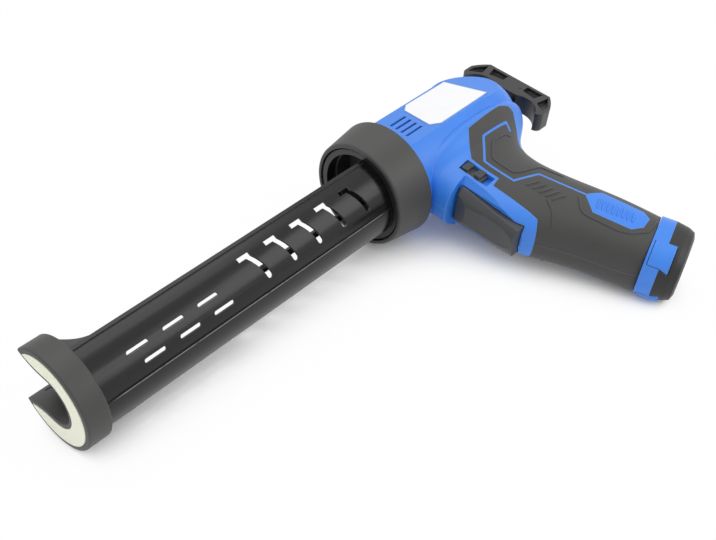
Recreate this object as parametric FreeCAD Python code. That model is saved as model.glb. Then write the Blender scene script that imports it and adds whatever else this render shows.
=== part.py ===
import FreeCAD, Part
import math
import os

# Cordless caulking tool, lying on its right side.
# X runs rearwards along the barrel, Y from the battery towards the top of the tool, Z to its left side.
# While modelling, x = 0 is the front face of the collar and the barrel axis is y = z = 0.

# Fits and clearances
RUN_FIT = 0.05
SEAT_GAP = 0.1
BODY_GAP = 0.3

# Cartridge and trough
CARTRIDGE_DIA = 50.0
CARTRIDGE_LEN = 215.0
CARTRIDGE_SLACK = 1.4
BAY_REAR_ROOM = 4.0
TROUGH_WALL = 1.2
RIM_LIP = 0.8
RIM_LIP_HEIGHT = 2.4
KEEL_RISE = 1.0
KEEL_HALF_ANGLE = 16.5

# Slots in the trough walls, angles from straight down
STRAIGHT_SLOT_WIDTH = 2.4
STRAIGHT_SLOT_LEN = 14.0
STRAIGHT_SLOT_PITCH = 23.7
STRAIGHT_SLOT_COUNT = 3
STRAIGHT_ROWS = ((50.6, 24.3), (32.7, 31.0))
HOOK_SLOT_COUNT = 5
HOOK_SLOT_PITCH = 20.2
HOOK_SLOT_FIRST = 115.7
HOOK_LEG_WIDTH = 3.7
HOOK_ARM_LEN = 8.7
HOOK_ARM_WIDTH = 2.6
HOOK_SLANT = 5.8
HOOK_TOP_ANGLE = 71.0
HOOK_LOW_ANGLE = 31.0

# Front cap and pad
CAP_R = 31.0
CAP_WALL = 11.7
CAP_SKIRT = 3.0
CAP_EDGE = 1.2
CAP_GUSSET_LEN = 16.0
CAP_GUSSET_HEIGHT = 19.0
CAP_GUSSET_WALL = 1.6
TROUGH_INSET = 3.0
NOZZLE_SLOT_R = 14.75
NOZZLE_FLARE_R = 34.0
NOZZLE_FLARE_START = 6.0
PAD_R = 27.7
PAD_RIM = 2.4
PAD_DEPTH = 2.0
PAD_PROUD = 0.3

# Barrel ring, collar and socket
RING_FRONT = 0.8
RING_R = 31.2
RING_LEN = 7.7
FLANGE_R = 33.2
FLANGE_LEN = 3.6
COLLAR_LEN = 26.0
COLLAR_FRONT_R = 35.0
COLLAR_REAR_R = 38.3
COLLAR_LIP_R = 32.2
COLLAR_EDGE = 1.7
THREAD_GAP = 0.4
SOCKET_BORE = 26.7
SOCKET_BACK = 4.5
SPIGOT_R = 20.0
SPIGOT_LEN = 8.0

# Push rod, plunger and pull handle
ROD_R = 2.4
ROD_DROP = 5.8
PLUNGER_R = 22.3
PLUNGER_LEN = 10.0
PLUNGER_GAP = 1.0
PLUNGER_EDGE = 2.0
PLUNGER_CUP = 6.0
NUT_R = 6.5
NUT_LEN = 4.0
BUSH_R = 6.0
REAR_BUSH_LEN = 10.0
REAR_BUSH_SET = 2.0
PULL_GAP = 9.5
PULL_DEPTH = 16.0
PULL_HALF_SPAN = 34.5
PULL_THICK = 14.0
PULL_SWEEP = 7.5
PULL_HUB_HALF = 8.5
PULL_TIP = 4.5
PULL_HOLLOW = 2.0
PULL_SLANT = 8.5
PULL_BEVEL = 12.0
PULL_BACK = 7.5
PULL_RIB = 2.2
PULL_POCKET = 3.0
PIN_R = 0.9

# Rack drive
RACK_MODULE = 0.8
PINION_TEETH = 10
PINION_HEIGHT = 8.0
RACK_PITCH_Z = -1.4
RACK_STROKE = CARTRIDGE_LEN
DRIVE_X = 80.0
STAGE_MODULE = 0.5
SUN_TEETH = 12
PLANET_TEETH = 12
PLANET_COUNT = 3
STAGE_R = 12.2
STAGE_LEN = 14.0
STAGE_TOP = -13.0
PLATE_LEN = 2.2
BEARING_R = 4.05
OUTPUT_R = 2.0
PLANET_LEN = 8.0
PLANET_PIN_R = 0.7
CARRIER_R = 8.0
CARRIER_LEN = 2.5
MOTOR_LEN = 30.0
MOTOR_CAP_LEN = 2.0
MOTOR_CAN_WALL = 1.0
MOTOR_SHAFT_R = 1.15
ROTOR_R = 9.0

# Housing
BODY_R = 33.0
BODY_FRONT = 26.4
BODY_END = 144.0
BODY_END_R = 6.0
BODY_ROUND = 42.0
TAIL_START = 108.0
TAIL_DROOP = 16.0
FACET_DIST = 25.6
FACET_TILT = 17.0
SEAT_RIM_R = 35.5
SEAT_RIM_LEN = 2.6
WALL = 1.8
FRONT_WALL = 4.6
RUBBER = 1.0
GRIP_POWER = 2.5
GRIP_POINTS = 28

# Handle: height, front edge, rear edge, half width
HANDLE_SECTIONS = (
    (-8.0, 34.0, 133.0, 27.8),
    (-20.0, 30.0, 137.5, 29.4),
    (-30.0, 29.2, 132.5, 27.2),
    (-35.0, 29.6, 124.9, 24.9),
    (-40.0, 29.8, 116.5, 24.4),
    (-50.0, 29.0, 105.5, 22.6),
    (-62.0, 30.5, 101.6, 21.8),
    (-80.0, 35.5, 102.5, 21.5),
    (-97.0, 42.0, 105.5, 21.5),
    (-115.0, 51.0, 109.0, 21.5),
    (-135.0, 58.5, 112.0, 21.2),
    (-160.0, 67.5, 114.5, 21.0),
    (-172.0, 71.5, 116.0, 21.0),
)

# Vents on each label facet: start along the tool, height on the facet
VENT_COUNT = 4
VENT_LEN = 15.0
VENT_WIDTH = 2.4
VENT_PITCH = 6.1
VENT_TOP = 8.4
VENT_START = 45.0
VENT_LEAN = 1.9

# Label outline on the facet: along the tool, up the facet
LABEL_THICK = 0.4
LABEL_OUTLINE = ((72.5, 19.0), (112.0, 18.5), (111.5, -18.5), (63.0, -19.0), (57.5, -13.5), (66.0, 14.5))

# Rubber grip outline and what the blue shell shows through it
GRIP_OUTLINE = (
    (34.0, -108.0), (42.0, -105.6), (49.4, -99.0), (49.4, -64.5), (56.4, -63.4), (56.4, -41.5), (72.5, -25.3),
    (107.5, -23.3), (115.0, -25.8), (116.6, -29.6), (110.0, -38.0), (101.0, -47.0), (97.0, -52.0),
    (150.0, -52.0), (150.0, -210.0), (34.0, -210.0),
)
STRIPE_PATH = (
    (100.0, -39.8), (103.6, -33.6), (78.6, -33.6), (61.5, -48.0), (61.5, -71.0), (79.0, -78.0), (84.5, -110.0),
)
STRIPE_WIDTH = 1.5
INLAY_OUTLINE = (
    (83.0, -110.0), (87.0, -110.0), (95.0, -114.5), (98.8, -142.5),
    (95.0, -148.5), (85.5, -150.0), (78.8, -145.5), (73.8, -121.0),
)

# Trigger and its opening
TRIGGER_HALF_TOP = 14.6
TRIGGER_HALF_LOW = 10.5
TRIGGER_TRAVEL = 6.0
TRIGGER_REAR = 49.0
TRIGGER_OUTLINE_FRONT = ((37.0, -48.4), (34.8, -57.0), (35.6, -73.0), (35.2, -86.0), (33.8, -94.5))
TRIGGER_SIDE_GAP = 0.4
TRIGGER_ROUND = 7.0
OPENING_TOP = -46.5
OPENING_REAR = 41.5
OPENING_LOW_REAR = -99.2
OPENING_LOW_FRONT = -104.0
CHEEK_START = 15.2
CHEEK_SLOPE = 0.7
STEM_R = 1.8
SPRING_R = 3.4
SPRING_WIRE = 0.8
SPRING_NEST = 2.0

# Slide switch on the left side
SLIDE_X = 50.3
SLIDE_HALF = 4.1
SLIDE_TOP = -40.0
SLIDE_SLOT_LEN = 22.0
SLIDE_LEN = 16.6
SLIDE_FLOOR = 17.5
SLIDE_BASE = 2.2
SLIDE_NUB_RISE = 2.6
SLIDE_NUB_LEN = 4.6

# Switch, board and terminals
SWITCH_FRONT = 57.2
SWITCH_LEN = 21.0
SWITCH_HEIGHT = 15.0
SWITCH_HALF = 9.0
SHELF_THICK = 1.6
BOARD_Y = 14.0
BOARD_THICK = 1.6
BOARD_FRONT = 60.0
BOARD_LEN = 46.0
BOARD_HALF = 16.0
LEDGE = 1.2
TERMINAL_LEN = 5.0
TERMINAL_HALF_DEPTH = 13.0
TERMINAL_HALF_WIDTH = 18.3

# Battery pack, set along the leaning handle
PACK_X = 90.3
PACK_Y = -155.8
PACK_LEAN = 17.0
PACK_GAP = 0.4
BAND_LEN = 9.4
BAND_HALF_DEPTH = 25.0
BAND_HALF_WIDTH = 21.4
BASE_LEN = 13.0
BASE_TAPER = 1.2
BASE_EDGE = 5.0
STICK_LEN = 68.0
STICK_WALL = 0.9
CELL_DIA = 16.2
CELL_COUNT = 3
CELL_LEN = 65.0
BLADE_LEN = 3.5
BLADE_COUNT = 4
BLADE_PITCH = 6.0
BLADE_THICK = 1.0
BLADE_HALF = 4.0
BUTTON_FRONT = -22.6
BUTTON_REAR = -9.5
BUTTON_LOW = -15.2
BUTTON_HIGH = -2.4
BUTTON_PROUD = 0.5
BUTTON_THICK = 2.4
BUTTON_TRAVEL = 2.0

# Housing screws
SCREW_PLACES = ((39.0, -37.0), (44.0, 21.0), (113.0, 15.0), (126.0, -19.0))
SCREW_BOSS_R = 4.2
SCREW_HEAD_R = 2.8
SCREW_HEAD_LEN = 2.2
SCREW_R = 1.25
SCREW_SEAT_Z = -12.0
SCREW_TIP_Z = 9.0

# Places that follow from the sizes above
TROUGH_IN = CARTRIDGE_DIA / 2 + CARTRIDGE_SLACK
TROUGH_OUT = TROUGH_IN + TROUGH_WALL
CAP_SEAT = -(CARTRIDGE_LEN + BAY_REAR_ROOM)
CAP_FRONT = CAP_SEAT - CAP_WALL
CAP_REAR = CAP_SEAT + CAP_SKIRT
PAD_FRONT = CAP_FRONT - PAD_PROUD
RING_REAR = RING_FRONT + RING_LEN
SOCKET_FRONT = RING_REAR + BODY_GAP
SOCKET_REAR = BODY_FRONT - SEAT_GAP
PLUNGER_FRONT = CAP_SEAT + PLUNGER_GAP
REAR_BUSH_END = BODY_END - REAR_BUSH_SET
PULL_FRONT = BODY_END + PULL_GAP
PULL_REAR = PULL_FRONT + PULL_DEPTH
RACK_PITCH = math.pi * RACK_MODULE
PINION_R = RACK_MODULE * PINION_TEETH / 2
DRIVE_Z = RACK_PITCH_Z - PINION_R
RING_TEETH = SUN_TEETH + 2 * PLANET_TEETH
ORBIT_R = STAGE_MODULE * (SUN_TEETH + PLANET_TEETH) / 2
STAGE_LOW = STAGE_TOP - STAGE_LEN
CARRIER_LOW = STAGE_TOP - CARRIER_LEN - BODY_GAP
PLANET_TOP = CARRIER_LOW - BODY_GAP
MOTOR_LOW = STAGE_LOW - MOTOR_LEN
SHELF_TOP = MOTOR_LOW - MOTOR_CAP_LEN - SEAT_GAP
SWITCH_TOP = SHELF_TOP - SHELF_THICK
PACK_LOW = -(PACK_GAP + BAND_LEN + BASE_LEN)
LONG = 400.0

V = FreeCAD.Vector
ALONG_X = V(1, 0, 0)
ALONG_Y = V(0, 1, 0)
ALONG_Z = V(0, 0, 1)


def rod_x(radius, x0, x1, y=0.0, z=0.0):
    return Part.makeCylinder(radius, x1 - x0, V(x0, y, z), ALONG_X)


def rod_y(radius, y0, y1, x, z):
    return Part.makeCylinder(radius, y1 - y0, V(x, y0, z), ALONG_Y)


def rod_z(radius, z0, z1, x, y):
    return Part.makeCylinder(radius, z1 - z0, V(x, y, z0), ALONG_Z)


def block(x0, x1, y0, y1, z0, z1):
    return Part.makeBox(x1 - x0, y1 - y0, z1 - z0, V(x0, y0, z0))


def polygon(points):
    """A flat face with straight sides through the given points."""
    return Part.Face(Part.makePolygon(list(points) + [points[0]]))


def outline_face(outline):
    """A flat face on z = 0. A line leads to an outline entry (x, y), and an arc through (mx, my) to (mx, my, x, y)."""
    edges = []
    here = V(*outline[0], 0)
    for entry in list(outline[1:]) + [outline[0]]:
        there = V(entry[-2], entry[-1], 0)
        if len(entry) == 4:
            edges.append(Part.Arc(here, V(entry[0], entry[1], 0), there).toShape())
        else:
            edges.append(Part.makeLine(here, there))
        here = there
    return Part.Face(Part.Wire(edges))


def prism_z(outline, z0, z1):
    """An outline in x and y carried from z0 to z1."""
    face = outline_face(outline)
    face.translate(V(0, 0, z0))
    return face.extrude(V(0, 0, z1 - z0))


def turned(profile):
    """A solid turned about the barrel axis from a closed profile in x and radius."""
    return outline_face(profile).revolve(V(0, 0, 0), ALONG_X, 360)


def mirrored(shape):
    return shape.mirror(V(0, 0, 0), ALONG_Z)


def front_round(x, r, edge):
    """A quarter round at the front end of a turned piece, from its face up to its side."""
    cut = edge * (1 - math.sqrt(0.5))
    return [(x, r - edge), (x + cut, r - cut, x + edge, r)]


def rear_round(x, r, edge):
    """A quarter round at the rear end of a turned piece, from its side down to its face."""
    cut = edge * (1 - math.sqrt(0.5))
    return [(x - edge, r), (x - cut, r - cut, x, r - edge)]


def wedge(x0, x1, low_angle, high_angle):
    """A wedge from the barrel axis outwards between two angles from straight down, towards the left side."""
    count = 6
    span = high_angle - low_angle
    angles = [math.radians(low_angle + span * i / count) for i in range(count + 1)]
    reach = 2 * TROUGH_OUT
    rim = [V(x0, -reach * math.cos(a), reach * math.sin(a)) for a in angles]
    return polygon([V(x0, 0, 0)] + rim).extrude(V(x1 - x0, 0, 0))


def hook_cutter(x):
    """A hooked slot, cut straight in: a short arm forwards at the top, a leg bowing rearwards below it."""
    middle = (HOOK_TOP_ANGLE + HOOK_LOW_ANGLE) / 2
    top = TROUGH_OUT * math.sin(math.radians(HOOK_TOP_ANGLE - middle))
    arm = top - HOOK_ARM_WIDTH
    end = HOOK_LEG_WIDTH / 2
    low_x = x + HOOK_SLANT
    bow_x = x + 0.6 * HOOK_SLANT
    face = outline_face([
        (x, top), (x - HOOK_ARM_LEN, top), (x - HOOK_ARM_LEN, arm), (x - HOOK_LEG_WIDTH, arm),
        (bow_x - HOOK_LEG_WIDTH, 0, low_x - HOOK_LEG_WIDTH, -top + end),
        (low_x - end, -top, low_x, -top + end),
        (bow_x, 0, x, arm),
    ])
    cutter = face.extrude(V(0, 0, 2 * TROUGH_OUT))
    cutter.rotate(V(0, 0, 0), ALONG_X, 90 - middle)
    return cutter


def radial_hole(x, angle, radius):
    a = math.radians(angle)
    return Part.makeCylinder(radius, 2 * TROUGH_OUT, V(x, 0, 0), V(0, -math.cos(a), math.sin(a)))


def oval(half_depth, half_width, centre_x, y):
    """A closed smooth oval across the handle, squarer than an ellipse, at one height."""
    points = []
    for i in range(GRIP_POINTS):
        t = 2 * math.pi * i / GRIP_POINTS
        c = math.cos(t)
        s = math.sin(t)
        x = centre_x + half_depth * math.copysign(abs(c) ** (2 / GRIP_POWER), c)
        z = half_width * math.copysign(abs(s) ** (2 / GRIP_POWER), s)
        points.append(V(x, y, z))
    curve = Part.BSplineCurve()
    curve.interpolate(points, PeriodicFlag=True)
    return Part.Wire([curve.toShape()])


def handle(inset):
    """The handle and neck, drawn in by the same amount all round."""
    wires = []
    for y, front, rear, half in HANDLE_SECTIONS:
        wires.append(oval((rear - front) / 2 - inset, half - inset, (front + rear) / 2, y))
    return Part.makeLoft(wires, True, False)


def column(sections):
    """A solid along the battery pack: each section is (height, half depth, half width)."""
    return Part.makeLoft([oval(d, w, 0.0, y) for y, d, w in sections], True, True)


def on_pack(shape):
    """Turns a piece drawn on the battery pack's own axis into the leaning handle."""
    shape.rotate(V(0, 0, 0), ALONG_Z, PACK_LEAN)
    shape.translate(V(PACK_X, PACK_Y, 0))
    return shape


def on_facet(shape):
    """Lays a piece drawn on z = 0 onto the left label facet."""
    a = math.radians(FACET_TILT)
    shape.rotate(V(0, 0, 0), ALONG_X, -FACET_TILT)
    shape.translate(V(0, FACET_DIST * math.sin(a), FACET_DIST * math.cos(a)))
    return shape


def gear_outline(module, teeth, turn, inside=False):
    """Straight-flanked slim teeth about the origin: (u, w) points, with a tooth centred at the turn angle."""
    pitch_r = module * teeth / 2
    add = 0.85 * module
    ded = 1.2 * module
    tip_r = pitch_r - add if inside else pitch_r + add
    root_r = pitch_r + ded if inside else pitch_r - ded
    step = 2 * math.pi / teeth
    root_half = 0.26 * step
    tip_half = 0.11 * step
    points = []
    for i in range(teeth):
        centre = math.radians(turn) + i * step
        for r, off in ((root_r, -root_half), (tip_r, -tip_half), (tip_r, tip_half), (root_r, root_half)):
            points.append((r * math.cos(centre + off), r * math.sin(centre + off)))
    return points


def gear_y(module, teeth, turn, y0, y1, x, z, inside=False):
    """A gear along Y. The turn angle is measured from +Z towards +X."""
    ring = [V(x + w, y0, z + u) for u, w in gear_outline(module, teeth, turn, inside)]
    return polygon(ring).extrude(V(0, y1 - y0, 0))


# Barrel

def make_trough():
    front = CAP_SEAT - TROUGH_INSET + SEAT_GAP
    half = block(front, RING_REAR, -LONG, 0, -LONG, LONG)
    shell = rod_x(TROUGH_OUT, front, RING_REAR).cut(rod_x(TROUGH_IN, front, RING_REAR)).common(half)
    lip_end = RING_FRONT - SEAT_GAP
    lip_in = TROUGH_IN + TROUGH_WALL / 2
    lip = block(CAP_REAR + SEAT_GAP, lip_end, -RIM_LIP_HEIGHT, 0, lip_in, TROUGH_OUT + RIM_LIP)
    keel = wedge(CAP_REAR + SEAT_GAP, lip_end, -KEEL_HALF_ANGLE, KEEL_HALF_ANGLE)
    keel = keel.common(rod_x(TROUGH_OUT + KEEL_RISE, front, RING_REAR))
    keel = keel.cut(rod_x(TROUGH_IN, front, RING_REAR))
    shell = shell.fuse([lip, mirrored(lip), keel])
    cuts = []
    end_r = STRAIGHT_SLOT_WIDTH / 2
    half_angle = math.degrees(end_r / TROUGH_OUT)
    for angle, first in STRAIGHT_ROWS:
        for i in range(STRAIGHT_SLOT_COUNT):
            x0 = CAP_SEAT + first + i * STRAIGHT_SLOT_PITCH
            x1 = x0 + STRAIGHT_SLOT_LEN
            cuts.append(wedge(x0 + end_r, x1 - end_r, angle - half_angle, angle + half_angle))
            cuts.append(radial_hole(x0 + end_r, angle, end_r))
            cuts.append(radial_hole(x1 - end_r, angle, end_r))
    for i in range(HOOK_SLOT_COUNT):
        cuts.append(hook_cutter(CAP_SEAT + HOOK_SLOT_FIRST + i * HOOK_SLOT_PITCH))
    cuts += [mirrored(c) for c in cuts]
    return shell.cut(cuts).removeSplitter()


def nozzle_slot(grow, x0, x1):
    """The U opening in the cap: a round bottom about the barrel axis and a flared mouth at the top."""
    half = NOZZLE_SLOT_R + grow
    edge = block(x0, x1, NOZZLE_FLARE_START, 2 * CAP_R, half, 2 * CAP_R)
    edge = edge.cut(rod_x(NOZZLE_FLARE_R - grow, x0, x1, NOZZLE_FLARE_START, NOZZLE_SLOT_R + NOZZLE_FLARE_R))
    return rod_x(half, x0, x1).fuse([block(x0, x1, 0, 2 * CAP_R, -half, half), edge, mirrored(edge)])


def make_front_cap():
    profile = front_round(CAP_FRONT, CAP_R, CAP_EDGE) + rear_round(CAP_REAR, CAP_R, CAP_EDGE)
    cap = turned([(CAP_FRONT, 0)] + profile + [(CAP_REAR, 0)])
    groove_front = CAP_SEAT - TROUGH_INSET
    bore = rod_x(TROUGH_OUT + SEAT_GAP, groove_front, CAP_REAR)
    cap = cap.cut(bore.cut(rod_x(TROUGH_IN - SEAT_GAP, groove_front, CAP_SEAT)))
    top = CAP_GUSSET_HEIGHT
    reach = CAP_GUSSET_LEN
    sag = 1 - math.sqrt(0.5)
    tip_x = CAP_REAR + reach
    web = prism_z([
        (CAP_REAR, SEAT_GAP), (tip_x, SEAT_GAP), (tip_x, 2 * SEAT_GAP),
        (CAP_REAR + reach * sag, top * sag, CAP_REAR + SEAT_GAP, top), (CAP_REAR, top),
    ], -LONG, LONG)
    tube = rod_x(TROUGH_OUT, CAP_SEAT, CAP_REAR + 2 * reach)
    tube = tube.cut(rod_x(TROUGH_OUT - CAP_GUSSET_WALL, CAP_SEAT, CAP_REAR + 2 * reach))
    foot = block(CAP_SEAT, CAP_REAR, SEAT_GAP, top, -LONG, LONG)
    cap = cap.fuse([tube.common(web), tube.common(foot)])
    cap = cap.cut(nozzle_slot(0, CAP_FRONT, CAP_REAR))
    return cap.cut(pad_shape(CAP_FRONT, SEAT_GAP)).removeSplitter()


def pad_shape(front, grow):
    disc = rod_x(PAD_R + grow, front, CAP_FRONT + PAD_DEPTH + grow)
    return disc.cut(nozzle_slot(PAD_RIM - grow, front, CAP_FRONT + PAD_DEPTH + grow))


def make_ring():
    bore = TROUGH_OUT + RUN_FIT
    step = RING_REAR - FLANGE_LEN
    return turned([
        (RING_FRONT, bore), (RING_FRONT, RING_R), (step, RING_R),
        (step, FLANGE_R), (RING_REAR, FLANGE_R), (RING_REAR, bore),
    ])


def make_collar():
    step = RING_REAR - FLANGE_LEN - BODY_GAP
    bore = FLANGE_R + THREAD_GAP
    outer = front_round(0, COLLAR_FRONT_R, COLLAR_EDGE) + rear_round(COLLAR_LEN, COLLAR_REAR_R, COLLAR_EDGE / 2)
    return turned([(0, COLLAR_LIP_R)] + outer + [(COLLAR_LEN, bore), (step, bore), (step, COLLAR_LIP_R)])


def make_socket():
    back = SOCKET_REAR - SOCKET_BACK
    spigot_end = SOCKET_REAR + SPIGOT_LEN
    tube = turned([
        (SOCKET_FRONT, SOCKET_BORE), (SOCKET_FRONT, FLANGE_R), (SOCKET_REAR, FLANGE_R), (SOCKET_REAR, SPIGOT_R),
        (spigot_end, SPIGOT_R), (spigot_end, 0), (back, 0), (back, SOCKET_BORE),
    ])
    return tube.cut(rod_x(BUSH_R + RUN_FIT, back, spigot_end, -ROD_DROP))


# Push rod and what it carries

def make_bush(x0, x1):
    return rod_x(BUSH_R, x0, x1, -ROD_DROP).cut(rod_x(ROD_R + RUN_FIT, x0, x1, -ROD_DROP))


def rack_gaps():
    """The spaces between the rack teeth, one gap facing the drive pinion at rest."""
    add = 0.85 * RACK_MODULE
    ded = 1.2 * RACK_MODULE
    tip_z = RACK_PITCH_Z - add
    root_z = RACK_PITCH_Z + ded
    tip_half = 0.28 * RACK_PITCH
    root_half = 0.17 * RACK_PITCH
    behind = 4
    ahead = math.ceil(RACK_STROKE / RACK_PITCH) + behind
    outer_z = -2 * ROD_R
    start = DRIVE_X - (ahead + 0.5) * RACK_PITCH
    end = DRIVE_X + (behind + 0.5) * RACK_PITCH
    points = [V(start, 0, outer_z), V(start, 0, tip_z)]
    for i in range(-ahead, behind + 1):
        centre = DRIVE_X + i * RACK_PITCH
        for offset, z in ((-tip_half, tip_z), (-root_half, root_z), (root_half, root_z), (tip_half, tip_z)):
            points.append(V(centre + offset, 0, z))
    points += [V(end, 0, tip_z), V(end, 0, outer_z)]
    comb = polygon(points)
    comb.translate(V(0, -ROD_DROP - 2 * ROD_R, 0))
    return comb.extrude(V(0, 4 * ROD_R, 0))


def make_push_rod():
    front = PLUNGER_FRONT + PLUNGER_LEN - PLUNGER_CUP
    rod = rod_x(ROD_R, front, PULL_REAR - PULL_POCKET, -ROD_DROP)
    pin_x = PULL_FRONT + PULL_DEPTH / 2
    return rod.cut(rack_gaps()).cut(rod_z(PIN_R + RUN_FIT, -LONG, LONG, pin_x, -ROD_DROP))


def make_plunger():
    rear = PLUNGER_FRONT + PLUNGER_LEN
    floor = rear - PLUNGER_CUP
    profile = [(PLUNGER_FRONT, 0)] + front_round(PLUNGER_FRONT, PLUNGER_R, PLUNGER_EDGE)
    profile += [(rear, PLUNGER_R), (rear, PLUNGER_R - PLUNGER_EDGE), (floor, PLUNGER_R - 2 * PLUNGER_EDGE), (floor, 0)]
    return turned(profile)


def make_plunger_nut():
    floor = PLUNGER_FRONT + PLUNGER_LEN - PLUNGER_CUP
    corners = []
    for i in range(6):
        a = math.pi / 3 * i
        corners.append(V(floor, NUT_R * math.cos(a) - ROD_DROP, NUT_R * math.sin(a)))
    nut = polygon(corners).extrude(V(NUT_LEN, 0, 0))
    return nut.cut(rod_x(ROD_R + RUN_FIT, floor, floor + NUT_LEN, -ROD_DROP))


def pull_outline():
    """The upper arm: flat rear face, slanted end, tip swept forward, hollow front edge down to the hub."""
    tip_x = PULL_FRONT - PULL_SWEEP
    tip_y = PULL_HALF_SPAN - PULL_TIP
    bend_y = (PULL_HUB_HALF + tip_y) / 2
    bend_x = PULL_FRONT + PULL_HOLLOW
    front = [(PULL_FRONT, -tip_y), (PULL_FRONT, PULL_HUB_HALF), (bend_x, bend_y, tip_x, tip_y)]
    tip = [(tip_x + PULL_TIP / 3, PULL_HALF_SPAN - PULL_TIP / 4, tip_x + PULL_TIP, PULL_HALF_SPAN)]
    slant_y = PULL_HALF_SPAN - PULL_SLANT
    rear = [(PULL_REAR - PULL_BEVEL, PULL_HALF_SPAN), (PULL_REAR - 1, slant_y + 1, PULL_REAR, slant_y), (PULL_REAR, -slant_y)]
    return front + tip + rear


def make_pull_handle():
    half = PULL_THICK / 2
    middle = block(-LONG, LONG, 0, LONG, -LONG, LONG)
    upper = prism_z(pull_outline(), -half, half).common(middle)
    bar = upper.fuse(upper.mirror(V(0, 0, 0), ALONG_Y)).removeSplitter()
    slant_y = PULL_HALF_SPAN - PULL_SLANT
    web_y = slant_y - PULL_RIB
    back_x = PULL_REAR - PULL_RIB
    inner = [(PULL_FRONT + PULL_BACK, PULL_HUB_HALF), (back_x, PULL_HUB_HALF), (back_x, web_y - PULL_RIB)]
    inner.append((PULL_FRONT + PULL_BACK - PULL_RIB, web_y - 2 * PULL_RIB))
    outer = [(PULL_FRONT + PULL_BACK - 2 * PULL_RIB, web_y), (back_x, slant_y)]
    outer += [(PULL_REAR - PULL_BEVEL, PULL_HALF_SPAN - PULL_RIB), (PULL_FRONT - PULL_SWEEP / 3, PULL_HALF_SPAN - PULL_RIB)]
    pockets = []
    for outline in (inner, outer):
        pocket = prism_z(outline, half - PULL_POCKET, half + 1)
        below = pocket.mirror(V(0, 0, 0), ALONG_Y)
        pockets += [pocket, below, mirrored(pocket), mirrored(below)]
    bar = bar.cut(pockets)
    bar = bar.cut(rod_x(ROD_R + RUN_FIT, PULL_FRONT, PULL_REAR - PULL_POCKET, -ROD_DROP))
    pin_x = PULL_FRONT + PULL_DEPTH / 2
    return bar.cut(rod_z(PIN_R + RUN_FIT, -LONG, LONG, pin_x, -ROD_DROP))


def make_handle_pin():
    half = PULL_THICK / 2 - SEAT_GAP
    return rod_z(PIN_R, -half, half, PULL_FRONT + PULL_DEPTH / 2, -ROD_DROP)


# Gearbox and motor

def make_drive_pinion():
    """The pinion on its shaft, which stands in the planet carrier."""
    pinion_low = -ROD_DROP - PINION_HEIGHT / 2
    shaft = rod_y(OUTPUT_R, CARRIER_LOW, pinion_low + PINION_HEIGHT + OUTPUT_R, DRIVE_X, DRIVE_Z)
    teeth = gear_y(RACK_MODULE, PINION_TEETH, 0, pinion_low, pinion_low + PINION_HEIGHT, DRIVE_X, DRIVE_Z)
    return shaft.fuse(teeth)


def make_carrier():
    """The planet carrier with its pins."""
    disc = rod_y(CARRIER_R, CARRIER_LOW, CARRIER_LOW + CARRIER_LEN, DRIVE_X, DRIVE_Z)
    pins = []
    for x, z in planet_places():
        pins.append(rod_y(PLANET_PIN_R, CARRIER_LOW - PLANET_LEN, CARRIER_LOW, x, z))
    return disc.fuse(pins).cut(rod_y(OUTPUT_R, CARRIER_LOW, STAGE_TOP, DRIVE_X, DRIVE_Z))


def planet_places():
    places = []
    for i in range(PLANET_COUNT):
        a = 2 * math.pi * i / PLANET_COUNT
        places.append((DRIVE_X + ORBIT_R * math.sin(a), DRIVE_Z + ORBIT_R * math.cos(a)))
    return places


def make_planet(index):
    x, z = planet_places()[index]
    high = PLANET_TOP
    low = high - PLANET_LEN
    turn = 360.0 * index / PLANET_COUNT + 180.0 / PLANET_TEETH
    wheel = gear_y(STAGE_MODULE, PLANET_TEETH, turn, low, high, x, z)
    return wheel.cut(rod_y(PLANET_PIN_R + RUN_FIT, low, high, x, z))


def make_sun():
    high = PLANET_TOP
    low = high - PLANET_LEN
    wheel = gear_y(STAGE_MODULE, SUN_TEETH, 0, low, high, DRIVE_X, DRIVE_Z)
    return wheel.cut(rod_y(MOTOR_SHAFT_R, low, high, DRIVE_X, DRIVE_Z))


def make_gear_case():
    case = rod_y(STAGE_R, STAGE_LOW, STAGE_TOP, DRIVE_X, DRIVE_Z)
    return case.cut(gear_y(STAGE_MODULE, RING_TEETH, 0, STAGE_LOW, STAGE_TOP, DRIVE_X, DRIVE_Z, True))


def make_gear_plate():
    plate = rod_y(STAGE_R, STAGE_TOP, STAGE_TOP + PLATE_LEN, DRIVE_X, DRIVE_Z)
    return plate.cut(rod_y(BEARING_R, STAGE_TOP, STAGE_TOP + PLATE_LEN, DRIVE_X, DRIVE_Z))


def make_output_bearing():
    ring = rod_y(BEARING_R, STAGE_TOP, STAGE_TOP + PLATE_LEN, DRIVE_X, DRIVE_Z)
    return ring.cut(rod_y(OUTPUT_R + RUN_FIT, STAGE_TOP, STAGE_TOP + PLATE_LEN, DRIVE_X, DRIVE_Z))


def make_motor_can():
    can = rod_y(STAGE_R, MOTOR_LOW, STAGE_LOW, DRIVE_X, DRIVE_Z)
    can = can.cut(rod_y(STAGE_R - MOTOR_CAN_WALL, MOTOR_LOW, STAGE_LOW - MOTOR_CAN_WALL, DRIVE_X, DRIVE_Z))
    return can.cut(rod_y(MOTOR_SHAFT_R + RUN_FIT, MOTOR_LOW, STAGE_LOW, DRIVE_X, DRIVE_Z))


def make_motor_cap():
    cap = rod_y(STAGE_R, MOTOR_LOW - MOTOR_CAP_LEN, MOTOR_LOW, DRIVE_X, DRIVE_Z)
    return cap.cut(rod_y(MOTOR_SHAFT_R + RUN_FIT, MOTOR_LOW - MOTOR_CAP_LEN, MOTOR_LOW, DRIVE_X, DRIVE_Z))


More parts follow.
